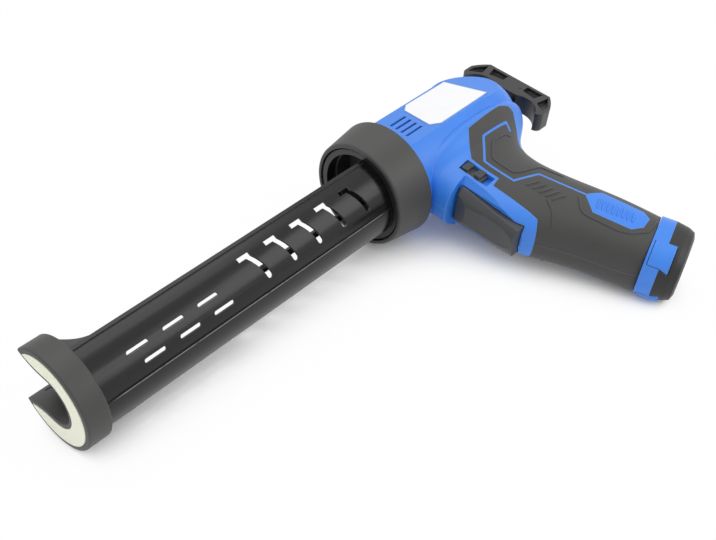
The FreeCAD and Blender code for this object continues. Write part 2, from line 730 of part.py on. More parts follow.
def make_rotor():
    shaft = rod_y(MOTOR_SHAFT_R, MOTOR_LOW - MOTOR_CAP_LEN, PLANET_TOP, DRIVE_X, DRIVE_Z)
    clear = 3 * MOTOR_CAN_WALL
    return shaft.fuse(rod_y(ROTOR_R, MOTOR_LOW + clear, STAGE_LOW - clear, DRIVE_X, DRIVE_Z))


# Housing shells and grip

def straight_body(inset):
    """The round body along the barrel axis with its domed rear end and two label facets."""
    front = BODY_FRONT + (FRONT_WALL if inset else 0)
    radius = BODY_R - inset
    end = BODY_END - inset
    round_start = BODY_END - BODY_ROUND
    half = math.sqrt(0.5)
    bulge = (round_start + (end - round_start) * half, BODY_END_R + (radius - BODY_END_R) * half)
    body = turned([(front, 0), (front, radius), (round_start, radius), bulge + (end, BODY_END_R), (end, 0)])
    slice_off = on_facet(block(0, LONG, -LONG, LONG, -inset, LONG))
    return body.cut([slice_off, mirrored(slice_off)])


def body_outer(inset):
    """The body with its tail drooping towards the handle, mitred where the droop starts."""
    pivot = V(TAIL_START, 0, 0)
    behind = block(TAIL_START, LONG, -LONG, LONG, -LONG, LONG)
    behind.rotate(pivot, ALONG_Z, -TAIL_DROOP / 2)
    tail = straight_body(inset)
    tail.rotate(pivot, ALONG_Z, -TAIL_DROOP)
    return straight_body(inset).cut(behind).fuse(tail.common(behind))


def opening_prism(grow):
    """The space cut away in front of the handle for the trigger, its rear wall slanted back at both sides."""
    rear = OPENING_REAR + grow
    front = prism_z([
        (0, OPENING_TOP + grow), (rear, OPENING_TOP + grow),
        (rear, OPENING_LOW_REAR - grow), (0, OPENING_LOW_FRONT - grow * 3),
    ], -LONG, LONG)
    reach = CHEEK_SLOPE * BODY_R
    corner = OPENING_REAR + grow * math.hypot(1, CHEEK_SLOPE)
    low = OPENING_LOW_REAR - grow
    cheek_end = CHEEK_START + BODY_R
    cheek = polygon([
        V(0, low, CHEEK_START), V(corner, low, CHEEK_START), V(corner + reach, low, cheek_end), V(0, low, cheek_end),
    ]).extrude(V(0, OPENING_TOP + grow - low, 0))
    return front.fuse([cheek, mirrored(cheek)])


def pack_mouth():
    """Everything below the slanted end of the grip."""
    return on_pack(block(-LONG, LONG, -LONG, 0, -LONG, LONG))


def stripe():
    """The thin blue line that shows through the rubber."""
    bars = []
    half = STRIPE_WIDTH / 2
    for (x0, y0), (x1, y1) in zip(STRIPE_PATH, STRIPE_PATH[1:]):
        length = math.hypot(x1 - x0, y1 - y0)
        bar = block(0, length, -half, half, 0, LONG)
        bar.rotate(V(0, 0, 0), ALONG_Z, math.degrees(math.atan2(y1 - y0, x1 - x0)))
        bar.translate(V(x0, y0, 0))
        bars += [bar, rod_z(half, 0, LONG, x1, y1)]
    return bars


def rubber_zone():
    """Where the left half is covered with rubber, as a prism."""
    zone = prism_z(GRIP_OUTLINE, 0, LONG)
    return zone.cut(stripe() + [prism_z(INLAY_OUTLINE, 0, LONG)])


def vents():
    cuts = []
    for i in range(VENT_COUNT):
        x0 = VENT_START - i * VENT_LEAN
        v = VENT_TOP - i * VENT_PITCH
        vent = block(x0, x0 + VENT_LEN, v - VENT_WIDTH / 2, v + VENT_WIDTH / 2, -2 * WALL, LONG)
        cuts.append(on_facet(vent))
    return cuts


def make_label():
    return on_facet(prism_z(LABEL_OUTLINE, 0, LABEL_THICK))


def screw_bosses(outer):
    return [rod_z(SCREW_BOSS_R, -LONG, LONG, x, y).common(outer) for x, y in SCREW_PLACES]


def screw_holes():
    holes = []
    for x, y in SCREW_PLACES:
        holes.append(rod_z(SCREW_HEAD_R + SEAT_GAP, -LONG, SCREW_SEAT_Z, x, y))
        holes.append(rod_z(SCREW_R + SEAT_GAP, SCREW_SEAT_Z, 0, x, y))
        holes.append(rod_z(SCREW_R + RUN_FIT, 0, SCREW_TIP_Z + SEAT_GAP, x, y))
    return holes


def make_screw(x, y):
    top = SCREW_SEAT_Z - SCREW_HEAD_LEN
    head = rod_z(SCREW_HEAD_R, top, SCREW_SEAT_Z, x, y)
    long = 0.65 * SCREW_HEAD_R
    thin = 0.15 * SCREW_HEAD_R
    floor = top + SCREW_HEAD_LEN / 2
    bar = block(x - long, x + long, y - thin, y + thin, top, floor)
    cross_bar = block(x - thin, x + thin, y - long, y + long, top, floor)
    return head.fuse(rod_z(SCREW_R, SCREW_SEAT_Z, SCREW_TIP_Z, x, y)).cut([bar, cross_bar])


def cradle_ribs(outer):
    """Flat webs inside the shells that hold the motor, the switch and the board."""
    ribs = []
    for y in (STAGE_LOW - 6, MOTOR_LOW + 6):
        ribs.append(block(DRIVE_X - 24, DRIVE_X + 18, y, y + SHELF_THICK, -LONG, LONG).common(outer))
    shelf = block(OPENING_REAR + 12, DRIVE_X + 18, SHELF_TOP - SHELF_THICK, SHELF_TOP, -LONG, LONG)
    ribs.append(shelf.common(outer))
    for side in (1, -1):
        low = min(side * (BOARD_HALF - LEDGE), side * LONG)
        high = max(side * (BOARD_HALF - LEDGE), side * LONG)
        ledge = block(BOARD_FRONT, BOARD_FRONT + BOARD_LEN, BOARD_Y - SHELF_THICK, BOARD_Y, low, high)
        ribs.append(ledge.common(outer))
    return ribs


def make_shell():
    """The left shell before the openings that differ from side to side are cut."""
    inner_handle = handle(WALL + RUBBER).cut(opening_prism(WALL))
    cavity = body_outer(WALL + 0.4).fuse(inner_handle)
    rim = rod_x(SEAT_RIM_R, BODY_FRONT, BODY_FRONT + SEAT_RIM_LEN)
    full = body_outer(0).fuse([handle(0), rim])
    full = full.cut([opening_prism(0), pack_mouth()])
    side = block(-LONG, LONG, -LONG, LONG, 0, LONG)
    shell = full.cut(cavity).fuse(cradle_ribs(full) + screw_bosses(full)).common(side)
    rubber_space = handle(0).cut(handle(RUBBER + SEAT_GAP)).common(rubber_zone())
    return shell.cut([rubber_space] + vents())


def trigger_column(x0, x1, grow):
    """The trigger's tapered breadth as a block, widest at the top, grown by the same gap all round."""
    top = TRIGGER_OUTLINE_FRONT[0][1] + grow
    low = TRIGGER_OUTLINE_FRONT[-1][1] - grow
    wide = TRIGGER_HALF_TOP + grow
    narrow = TRIGGER_HALF_LOW + grow
    face = polygon([V(x0, top, -wide), V(x0, top, wide), V(x0, low, narrow), V(x0, low, -narrow)])
    return face.extrude(V(x1 - x0, 0, 0))


def shared_cuts():
    """Spaces that both shells leave for what they hold."""
    motor_end = MOTOR_LOW - MOTOR_CAP_LEN - SEAT_GAP
    motor_space = rod_y(STAGE_R + SEAT_GAP, motor_end, STAGE_TOP + PLATE_LEN, DRIVE_X, DRIVE_Z)
    spigot = rod_x(SPIGOT_R + SEAT_GAP, BODY_FRONT, BODY_FRONT + SPIGOT_LEN)
    bush = rod_x(BUSH_R + RUN_FIT, REAR_BUSH_END - REAR_BUSH_LEN, PULL_FRONT, -ROD_DROP)
    window = trigger_column(0, TRIGGER_REAR + TRIGGER_TRAVEL + TRIGGER_SIDE_GAP, TRIGGER_SIDE_GAP)
    return [motor_space, spigot, bush, window] + screw_holes()


def slide_tub():
    low = SLIDE_TOP - SLIDE_SLOT_LEN
    return block(SLIDE_X - SLIDE_HALF - WALL, SLIDE_X + SLIDE_HALF + WALL, low - WALL, SLIDE_TOP + WALL,
                 SLIDE_FLOOR - WALL, SLIDE_FLOOR + WALL)


def slide_slot():
    low = SLIDE_TOP - SLIDE_SLOT_LEN
    return block(SLIDE_X - SLIDE_HALF, SLIDE_X + SLIDE_HALF, low, SLIDE_TOP, SLIDE_FLOOR, LONG)


# Controls and what they work

def make_trigger():
    rear = TRIGGER_REAR
    top = TRIGGER_OUTLINE_FRONT[0][1]
    low = TRIGGER_OUTLINE_FRONT[-1][1]
    outline = list(TRIGGER_OUTLINE_FRONT) + [(rear, low), (rear, top)]
    body = prism_z(outline, -TRIGGER_HALF_TOP, TRIGGER_HALF_TOP).common(trigger_column(0, rear, 0))
    front = min(x for x, y in TRIGGER_OUTLINE_FRONT)
    nose_x = front + TRIGGER_ROUND
    nose = outline_face([
        (LONG, -TRIGGER_HALF_TOP), (nose_x, -TRIGGER_HALF_TOP),
        (front, 0, nose_x, TRIGGER_HALF_TOP), (LONG, TRIGGER_HALF_TOP),
    ])
    nose.rotate(V(0, 0, 0), ALONG_X, 90)
    nose.translate(V(0, -LONG / 2, 0))
    body = body.common(nose.extrude(V(0, LONG, 0)))
    stem_y = SWITCH_TOP - SWITCH_HEIGHT / 2
    return body.fuse(rod_x(STEM_R, rear, SWITCH_FRONT + SPRING_NEST, stem_y))


def make_trigger_spring():
    stem_y = SWITCH_TOP - SWITCH_HEIGHT / 2
    end = SWITCH_FRONT + SPRING_NEST
    sleeve = rod_x(SPRING_R, TRIGGER_REAR, end, stem_y)
    return sleeve.cut(rod_x(SPRING_R - SPRING_WIRE, TRIGGER_REAR, end, stem_y))


def make_switch():
    low = SWITCH_TOP - SWITCH_HEIGHT
    body = block(SWITCH_FRONT, SWITCH_FRONT + SWITCH_LEN, low, SWITCH_TOP, -SWITCH_HALF, SWITCH_HALF)
    stem_y = SWITCH_TOP - SWITCH_HEIGHT / 2
    bore_end = SWITCH_FRONT + SPRING_NEST + TRIGGER_TRAVEL + BODY_GAP
    return body.cut(rod_x(SPRING_R + BODY_GAP, SWITCH_FRONT, bore_end, stem_y))


def make_slide():
    gap = BODY_GAP
    high = SLIDE_TOP - gap
    low = high - SLIDE_LEN
    bottom = SLIDE_FLOOR + gap
    plate = block(SLIDE_X - SLIDE_HALF + gap, SLIDE_X + SLIDE_HALF - gap, low, high, bottom, bottom + SLIDE_BASE)
    nubs = []
    for y in (high - SLIDE_NUB_LEN - 1.2, low + 1.2):
        nubs.append(block(SLIDE_X - SLIDE_HALF + 2 * gap, SLIDE_X + SLIDE_HALF - 2 * gap, y, y + SLIDE_NUB_LEN,
                          bottom, bottom + SLIDE_BASE + SLIDE_NUB_RISE))
    return plate.fuse(nubs)


def make_board():
    return block(BOARD_FRONT, BOARD_FRONT + BOARD_LEN, BOARD_Y, BOARD_Y + BOARD_THICK, -BOARD_HALF, BOARD_HALF)


def make_terminals():
    """The socket plate above the stick, filling the grip from side to side."""
    low = STICK_LEN + BODY_GAP + BLADE_LEN
    plate = column(((low, TERMINAL_HALF_DEPTH, TERMINAL_HALF_WIDTH), (low + TERMINAL_LEN, TERMINAL_HALF_DEPTH, TERMINAL_HALF_WIDTH)))
    return on_pack(plate)


# Battery pack

def cell_places():
    """Three cells touching each other, the third one towards the left side: (angle, x, z) about the pack axis."""
    reach = CELL_DIA / math.sqrt(3)
    places = []
    for i in range(CELL_COUNT):
        a = math.pi / 2 + 2 * math.pi * i / CELL_COUNT
        places.append((a, reach * math.cos(a), reach * (math.sin(a) - 0.25)))
    return places


def stick_solid(low, high, grow):
    """A bar with the outline of a band drawn tight round the three cells and grown outwards."""
    r = CELL_DIA / 2 + grow
    turn = math.pi / CELL_COUNT
    outline = []
    for a, x, z in cell_places():
        outline.append((x + r * math.cos(a - turn), z + r * math.sin(a - turn)))
        middle = (x + r * math.cos(a), z + r * math.sin(a))
        outline.append(middle + (x + r * math.cos(a + turn), z + r * math.sin(a + turn)))
    face = outline_face(outline)
    face.rotate(V(0, 0, 0), ALONG_X, 90)
    face.translate(V(0, low, 0))
    return face.extrude(V(0, high - low, 0))


def make_stick():
    low = -PACK_GAP - BAND_LEN
    hollow = stick_solid(low + STICK_WALL, STICK_LEN - STICK_WALL, 0)
    return on_pack(stick_solid(low, STICK_LEN, STICK_WALL).cut(hollow))


def make_cell(index):
    angle, x, z = cell_places()[index]
    low = -PACK_GAP - BAND_LEN + STICK_WALL
    return on_pack(rod_y(CELL_DIA / 2 - RUN_FIT, low, low + CELL_LEN, x, z))


def make_contacts():
    """Contact blades on one strip at the upper end of the stick."""
    half = BLADE_COUNT * BLADE_PITCH / 2
    strip = block(-half, half, STICK_LEN, STICK_LEN + BLADE_THICK, -BLADE_HALF, BLADE_HALF)
    blades = []
    for i in range(BLADE_COUNT):
        x = (i - (BLADE_COUNT - 1) / 2) * BLADE_PITCH
        blades.append(block(x - BLADE_THICK / 2, x + BLADE_THICK / 2, STICK_LEN, STICK_LEN + BLADE_LEN, -BLADE_HALF, BLADE_HALF))
    return on_pack(strip.fuse(blades))


def button_zone(grow):
    return block(BUTTON_FRONT - grow, BUTTON_REAR + grow, BUTTON_LOW - grow, BUTTON_HIGH + grow, 0, LONG)


def button_wall(outer_grow, inner_grow):
    high = BUTTON_HIGH + 2
    low = BUTTON_LOW - 2
    outside = column(((low, BAND_HALF_DEPTH + outer_grow, BAND_HALF_WIDTH + outer_grow),
                      (high, BAND_HALF_DEPTH + outer_grow, BAND_HALF_WIDTH + outer_grow)))
    inside = column(((low, BAND_HALF_DEPTH + inner_grow, BAND_HALF_WIDTH + inner_grow),
                     (high, BAND_HALF_DEPTH + inner_grow, BAND_HALF_WIDTH + inner_grow)))
    return outside.cut(inside)


def button_pocket():
    depth = BUTTON_THICK + BUTTON_TRAVEL + BODY_GAP
    pocket = button_wall(2 * BUTTON_PROUD, BUTTON_PROUD - depth - BUTTON_PROUD)
    return pocket.common(button_zone(BODY_GAP))


def make_button():
    return button_wall(BUTTON_PROUD, BUTTON_PROUD - BUTTON_THICK).common(button_zone(0))


def make_band():
    low = -PACK_GAP - BAND_LEN
    outer = column(((low, BAND_HALF_DEPTH, BAND_HALF_WIDTH), (-PACK_GAP, BAND_HALF_DEPTH, BAND_HALF_WIDTH)))
    pocket = button_pocket()
    return outer.cut([stick_solid(low, -PACK_GAP, STICK_WALL), pocket, mirrored(pocket)])


def make_base():
    high = -PACK_GAP - BAND_LEN
    d = BAND_HALF_DEPTH
    w = BAND_HALF_WIDTH
    t = BASE_TAPER
    e = BASE_EDGE
    base = column((
        (PACK_LOW, d - t - e, w - t - e), (PACK_LOW + e / 4, d - t - e / 3, w - t - e / 3), (PACK_LOW + e, d - t, w - t), (high, d, w),
    ))
    pocket = button_pocket()
    return base.cut([pocket, mirrored(pocket)])


# All pieces

shell = make_shell()
shell_cuts = shared_cuts()
housing_left = shell.cut(shell_cuts).fuse(slide_tub().common(handle(0))).cut(slide_slot())
housing_right = mirrored(shell).cut(shell_cuts)
layer = handle(0).cut(handle(RUBBER))
grip_left = layer.common(rubber_zone()).cut([pack_mouth(), opening_prism(0)])

pieces = {
    "housing_left": housing_left,
    "housing_right": housing_right,
    "grip_left": grip_left,
    "grip_right": mirrored(grip_left),
    "label_left": make_label(),
    "label_right": mirrored(make_label()),
    "barrel_socket": make_socket(),
    "rod_bush_front": make_bush(SOCKET_REAR - SOCKET_BACK, SOCKET_REAR + SPIGOT_LEN),
    "rod_bush_rear": make_bush(REAR_BUSH_END - REAR_BUSH_LEN, REAR_BUSH_END),
    "retaining_collar": make_collar(),
    "trough": make_trough(),
    "trough_ring": make_ring(),
    "front_cap": make_front_cap(),
    "front_pad": pad_shape(PAD_FRONT, 0),
    "push_rod": make_push_rod(),
    "plunger": make_plunger(),
    "plunger_nut": make_plunger_nut(),
    "pull_handle": make_pull_handle(),
    "handle_pin": make_handle_pin(),
    "drive_pinion": make_drive_pinion(),
    "planet_carrier": make_carrier(),
    "sun_gear": make_sun(),
    "motor_rotor": make_rotor(),
    "gear_case": make_gear_case(),
    "gear_plate": make_gear_plate(),
    "output_bearing": make_output_bearing(),
    "motor_can": make_motor_can(),
    "motor_cap": make_motor_cap(),
    "trigger": make_trigger(),
    "trigger_spring": make_trigger_spring(),
    "trigger_switch": make_switch(),
    "slide_switch": make_slide(),
    "control_board": make_board(),
    "terminal_block": make_terminals(),
    "battery_case": make_stick(),
    "battery_contacts": make_contacts(),
    "battery_band": on_pack(make_band()),
    "battery_base": on_pack(make_base()),
    "release_button_left": on_pack(make_button()),
    "release_button_right": on_pack(mirrored(make_button())),
}
for i in range(PLANET_COUNT):
    pieces["planet_gear_" + str(i + 1)] = make_planet(i)
for i in range(CELL_COUNT):
    pieces["battery_cell_" + str(i + 1)] = make_cell(i)
for i, (x, y) in enumerate(SCREW_PLACES):
    pieces["housing_screw_" + str(i + 1)] = make_screw(x, y)

# The middle of the tool's length and height goes to the origin, and its lowest side to z = 0
boxes = [shape.optimalBoundingBox(False, False) for shape in pieces.values()]
middle_x = (min(b.XMin for b in boxes) + max(b.XMax for b in boxes)) / 2
middle_y = (min(b.YMin for b in boxes) + max(b.YMax for b in boxes)) / 2
to_origin = V(-middle_x, -middle_y, COLLAR_REAR_R)
print("shift", to_origin)

for name, shape in pieces.items():
    shape.translate(to_origin)
    shape.exportStep("parts/" + name + ".step")
    print(name, len(shape.Solids), round(shape.Volume, 1), shape.isValid())
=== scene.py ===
import math

import bmesh
import bpy
import numpy as np
from mathutils import Matrix, Vector


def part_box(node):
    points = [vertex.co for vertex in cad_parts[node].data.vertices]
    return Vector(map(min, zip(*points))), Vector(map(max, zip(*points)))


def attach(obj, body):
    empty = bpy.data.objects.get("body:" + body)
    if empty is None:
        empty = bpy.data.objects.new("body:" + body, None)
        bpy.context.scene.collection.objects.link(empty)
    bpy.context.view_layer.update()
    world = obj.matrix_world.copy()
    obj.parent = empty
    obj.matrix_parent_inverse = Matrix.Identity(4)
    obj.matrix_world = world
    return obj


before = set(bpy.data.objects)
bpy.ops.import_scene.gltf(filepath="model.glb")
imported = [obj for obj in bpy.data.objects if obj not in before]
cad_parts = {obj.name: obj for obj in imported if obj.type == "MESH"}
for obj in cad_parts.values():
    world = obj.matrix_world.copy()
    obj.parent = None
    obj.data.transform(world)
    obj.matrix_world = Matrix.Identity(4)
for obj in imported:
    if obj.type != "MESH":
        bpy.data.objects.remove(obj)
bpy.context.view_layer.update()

# Housing shells: the two halves of the body, moulded in blue ABS and screwed together.
# The tool steel was spark eroded, so the plastic has a fine even grain, and handling has
# polished its edges a little paler.


def linear(code):
    """An sRGB hex colour as linear red, green, blue, alpha: each channel c becomes
    c / 12.92 below 0.04045 and ((c + 0.055) / 1.055) ** 2.4 above it."""
    c = np.array([int(code[i:i + 2], 16) for i in (1, 3, 5)]) / 255
    c = np.where(c <= 0.04045, c / 12.92, ((c + 0.055) / 1.055) ** 2.4)
    return (*c.tolist(), 1.0)


def mm(size):
    """Millimetres as Blender's metres."""
    return size / 1000


def per_mm(size):
    """The scale of a pattern whose features are so many millimetres apart."""
    return 1000.0 / size


def plug(tree, inputs, values):
    """Links each named input to another node's output, or sets it to a plain value."""
    for key, value in values.items():
        socket = next(s for s in inputs if key in (s.identifier, s.name))
        if isinstance(value, bpy.types.NodeSocket):
            tree.links.new(value, socket)
        else:
            socket.default_value = value


def node(tree, kind, settings, values, out=None):
    """Adds one shader node with its settings, links or sets its inputs, and gives back an output."""
    made = tree.nodes.new("ShaderNode" + kind)
    for key, value in settings.items():
        setattr(made, key, value)
    plug(tree, made.inputs, values)
    return next(s for s in made.outputs if out in (None, s.identifier, s.name))


def finish(name):
    """A new material, its node tree, its shader's inputs and the Object coordinates."""
    made = bpy.data.materials.new(name)
    made.use_nodes = True
    tree = made.node_tree
    place = node(tree, "TexCoord", {}, {}, "Object")
    return made, tree, tree.nodes["Principled BSDF"].inputs, place


def dress(material, *names):
    """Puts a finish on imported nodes."""
    for name in names:
        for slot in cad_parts[name].material_slots:
            slot.material = material


def edge_wear_and_shade(tree, edge, even, sharp, most, samples=6):
    """The normal rounded over edge mm, and a share that is high on edges. The share is none where the
    cosine between that normal and the face's own is above even, and most where it is below sharp."""
    soft = node(tree, "Bevel", {"samples": samples}, {"Radius": mm(edge)})
    face = node(tree, "NewGeometry", {}, {}, "Normal")
    meet = node(tree, "VectorMath", {"operation": "DOT_PRODUCT"},
                {"Vector": soft, "Vector_001": face}, "Value")
    share = node(tree, "MapRange", {},
                 {"Value": meet, "From Min": even, "From Max": sharp, "To Min": 0.0, "To Max": most})
    return soft, share


def moulded(name, deep, pale, rubbed, roughness, grain, ior, edge):
    """A moulded plastic or a baked paint: base colour between deep and pale in soft patches, a grain of so
    many mm as bump, and edges rounded over edge mm and rubbed to a paler colour in places. The real grain
    is too fine to show, so it is drawn coarser."""
    made, tree, shader, place = finish(name)
    patch = node(tree, "TexNoise", {},
                 {"Vector": place, "Scale": per_mm(32), "Detail": 3.0, "Roughness": 0.6})
    colour = node(tree, "Mix", {"data_type": "RGBA"},
                  {"Factor_Float": patch, "A_Color": linear(deep), "B_Color": linear(pale)}, "Result_Color")
    soft, share = edge_wear_and_shade(tree, edge, even=0.985, sharp=0.80, most=0.9)
    rub = node(tree, "TexNoise", {}, {"Vector": place, "Scale": per_mm(7), "Detail": 4.0})
    worn = node(tree, "Math", {"operation": "MULTIPLY"}, {"Value": share, "Value_001": rub})
    colour = node(tree, "Mix", {"data_type": "RGBA"},
                  {"Factor_Float": worn, "A_Color": colour, "B_Color": linear(rubbed)}, "Result_Color")
    gloss = node(tree, "MapRange", {},
                 {"Value": patch, "From Min": 0.3, "From Max": 0.7,
                  "To Min": roughness - 0.05, "To Max": roughness + 0.06})
    pores = node(tree, "TexNoise", {}, {"Vector": place, "Scale": per_mm(grain), "Detail": 2.0})
    bumped = node(tree, "Bump", {},
                  {"Strength": 0.5, "Distance": mm(0.06), "Height": pores, "Normal": soft})
    plug(tree, shader, {"Base Color": colour, "Roughness": gloss, "Normal": bumped, "IOR": ior})
    return made


blue_abs = moulded("blue_abs_spark_grain", "#2D78DE", "#3987E8", "#8DBAFA",
                   roughness=0.40, grain=0.9, ior=1.54, edge=0.7)
dress(blue_abs, "housing_left", "housing_right")

# Label plates: blank white vinyl, die cut and stuck on the flat at each side of the body.
# The film is smooth and a little uneven over its glue, and its edge is painted a darker grey-blue as shade,
# standing for the thin shadow along its rim.
made, tree, shader, place = finish("white_label_vinyl")
glue = node(tree, "TexNoise", {}, {"Vector": place, "Scale": per_mm(11), "Detail": 2.0})
colour = node(tree, "Mix", {"data_type": "RGBA"},
              {"Factor_Float": glue, "A_Color": linear("#EEEFF1"), "B_Color": linear("#F7F7F8")},
              "Result_Color")
# Painted shade: the band along the label's edge is mixed towards grey-blue in place of the shadow at its rim.
_, painted_edge_shade = edge_wear_and_shade(tree, 0.9, even=0.995, sharp=0.85, most=0.9, samples=8)
colour = node(tree, "Mix", {"data_type": "RGBA"},
              {"Factor_Float": painted_edge_shade, "A_Color": colour, "B_Color": linear("#7C8496")}, "Result_Color")
gloss = node(tree, "MapRange", {}, {"Value": glue, "To Min": 0.24, "To Max": 0.36})
bumped = node(tree, "Bump", {}, {"Strength": 0.25, "Distance": mm(0.1), "Height": glue})
plug(tree, shader, {"Base Color": colour, "Roughness": gloss, "Normal": bumped, "IOR": 1.53})
dress(made, "label_left", "label_right")

# Housing screws: four cross-head thread-forming screws of zinc-plated steel, sunk in the right shell.
# Plating gives a bright uneven grey with a faint yellow bloom.
zinc_steel, tree, shader, place = finish("zinc_plated_steel")
bloom = node(tree, "TexNoise", {}, {"Vector": place, "Scale": per_mm(2.4), "Detail": 3.0})
colour = node(tree, "Mix", {"data_type": "RGBA"},
              {"Factor_Float": bloom, "A_Color": linear("#A9ABAC"), "B_Color": linear("#C2BDA8")},
              "Result_Color")
gloss = node(tree, "MapRange", {}, {"Value": bloom, "To Min": 0.22, "To Max": 0.48})
soft = node(tree, "Bevel", {"samples": 4}, {"Radius": mm(0.2)})
bumped = node(tree, "Bump", {}, {"Strength": 0.3, "Distance": mm(0.03), "Height": bloom, "Normal": soft})
plug(tree, shader, {"Base Color": colour, "Roughness": gloss, "Normal": bumped, "Metallic": 1.0})
dress(zinc_steel, "housing_screw_1", "housing_screw_2", "housing_screw_3", "housing_screw_4")

# Rubber grips: thermoplastic rubber moulded over each shell in the same press, one millimetre thick.
# It is matt dark grey, holds a little pale dust, and its edges are rubbed. The fine leathery grain of its
# mould is drawn coarser, so that it shows.
grip_rubber, tree, shader, place = finish("grip_rubber_moulded")
dust = node(tree, "TexNoise", {}, {"Vector": place, "Scale": per_mm(16), "Detail": 5.0, "Roughness": 0.65})
colour = node(tree, "Mix", {"data_type": "RGBA"},
              {"Factor_Float": dust, "A_Color": linear("#2D2D2C"), "B_Color": linear("#3D3D3C")},
              "Result_Color")
soft, worn = edge_wear_and_shade(tree, 0.8, even=0.985, sharp=0.75, most=0.6)
colour = node(tree, "Mix", {"data_type": "RGBA"},
              {"Factor_Float": worn, "A_Color": colour, "B_Color": linear("#6A6966")}, "Result_Color")
gloss = node(tree, "MapRange", {}, {"Value": dust, "To Min": 0.52, "To Max": 0.68})
grain = node(tree, "TexVoronoi", {}, {"Vector": place, "Scale": per_mm(0.8)})
bumped = node(tree, "Bump", {}, {"Strength": 0.45, "Distance": mm(0.08), "Height": grain, "Normal": soft})
plug(tree, shader, {"Base Color": colour, "Roughness": gloss, "Normal": bumped, "IOR": 1.50,
                    "Sheen Weight": 0.15, "Sheen Roughness": 0.5})
dress(grip_rubber, "grip_left", "grip_right")

# Raised lines of the grip: the edge of the thumb panel, the border round the inlay, the step where the
# fingers close and the slanting ribs. They are part of the rubber's mould, on both sides, and are laid
# on the grip's surface in mm from the collar's face on the barrel axis.
collar_low, collar_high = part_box("retaining_collar")
BARREL_AXIS = np.array([collar_low[0],
                        (collar_low[1] + collar_high[1]) / 2,
                        (collar_low[2] + collar_high[2]) / 2])
# Height on the handle, front edge, rear edge and half width
HANDLE = np.array([
    (-172.0, 71.5, 116.0, 21.0), (-160.0, 67.5, 114.5, 21.0), (-135.0, 58.5, 112.0, 21.2),
    (-115.0, 51.0, 109.0, 21.5), (-97.0, 42.0, 105.5, 21.5), (-80.0, 35.5, 102.5, 21.5),
    (-62.0, 30.5, 101.6, 21.8), (-50.0, 29.0, 105.5, 22.6), (-40.0, 29.8, 116.5, 24.4),
    (-35.0, 29.6, 124.9, 24.9), (-30.0, 29.2, 132.5, 27.2), (-20.0, 30.0, 137.5, 29.4),
    (-8.0, 34.0, 133.0, 27.8),
])
ROUNDNESS = 2.5
THUMB_PANEL = ((97.0, -43.5), (92.3, -40.4), (79.5, -40.4), (67.4, -50.0),
               (67.1, -66.5), (73.0, -70.0), (86.7, -73.8), (90.5, -90.0))
INLAY_BORDER = ((80.0, -106.5), (70.0, -115.5), (69.2, -119.5), (73.1, -140.7),
                (76.4, -147.4), (83.6, -153.9), (90.0, -153.9), (96.5, -152.6))
FINGER_STEP = ((63.5, -94.5), (58.7, -102.1), (54.9, -106.0), (50.8, -109.5))
LINE_BEAD = {"width": 1.7, "rise": 0.8, "sink": 0.12}
RIB_COUNT = 5
RIB_FIRST = (63.0, -78.6)
RIB_STEP = (0.2, -4.7)
RIB_RUN = (11.0, -4.1)
RIB_BEAD = {"width": 2.0, "rise": 0.9, "sink": 0.15}
# Step and rounding of a bead in mm, its taper in bead widths, and its tip as a share of the full size
BEAD_STEP = 0.6
LEAST_POINTS = 8
BEAD_ROUND = 3.0
BEAD_SIDES = 12
BEAD_TAPER = 1.5
BEAD_TIP = 0.02


def through_sections(y):
    """Front edge, rear edge and half width at any height: the natural cubic spline through the sections.
    Its second slopes m solve h0 m0 + 2 (h0 + h1) m1 + h1 m2 = 6 (rise1 / h1 - rise0 / h0), with none at
    the ends."""
    at, value = HANDLE[:, 0], HANDLE[:, 1:]
    h = np.diff(at)
    slope = np.diff(value, axis=0) / h[:, None]
    rows = np.eye(len(at))
    inner = np.arange(1, len(at) - 1)
    rows[inner, inner - 1] = h[:-1]
    rows[inner, inner] = 2 * (h[:-1] + h[1:])
    rows[inner, inner + 1] = h[1:]
    right = np.zeros_like(value)
    right[1:-1] = 6 * np.diff(slope, axis=0)
    m = np.linalg.solve(rows, right)
    i = np.clip(np.searchsorted(at, y) - 1, 0, len(h) - 1)
    a = ((at[i + 1] - y) / h[i])[..., None]
    b = 1 - a
    bend = ((a ** 3 - a) * m[i] + (b ** 3 - b) * m[i + 1]) * (h[i] ** 2)[..., None] / 6
    return np.moveaxis(a * value[i] + b * value[i + 1] + bend, -1, 0)


def grip_side(x, y):
    """How far out the grip's side stands: half width times (1 - |u| ** r) ** (1 / r), where u runs from
    -1 at the front edge to 1 at the rear edge and r is the roundness."""
    front, rear, half = through_sections(y)
    u = np.clip(np.abs((2 * x - front - rear) / (rear - front)), 0, 1)
    return half * (1 - u ** ROUNDNESS) ** (1 / ROUNDNESS)


def even_points(corners, step, round_over):
    """Points a step apart along a broken line, its corners rounded by a running mean round_over wide."""
    corners = np.array(corners)
    far = np.concatenate(([0], np.cumsum(np.hypot(*np.diff(corners, axis=0).T))))
    s = np.linspace(0, far[-1], max(LEAST_POINTS, int(far[-1] / step)))
    line = np.column_stack([np.interp(s, far, corners[:, k]) for k in (0, 1)])
    width = 2 * int(round_over / step / 2) + 1
    padded = np.pad(line, ((width // 2, width // 2), (0, 0)), mode="reflect", reflect_type="odd")
    return np.column_stack([np.convolve(padded[:, k], np.ones(width) / width, "valid") for k in (0, 1)])


def taper(end):
    """The share of a bead's full size near its end, where end runs from 0 at the tip to 1: a quarter
    circle, the square root of 1 - (1 - end) ** 2, and never less than the tip's share."""
    return np.sqrt(np.maximum(1 - (1 - np.clip(end, 0, 1)) ** 2, BEAD_TIP ** 2))


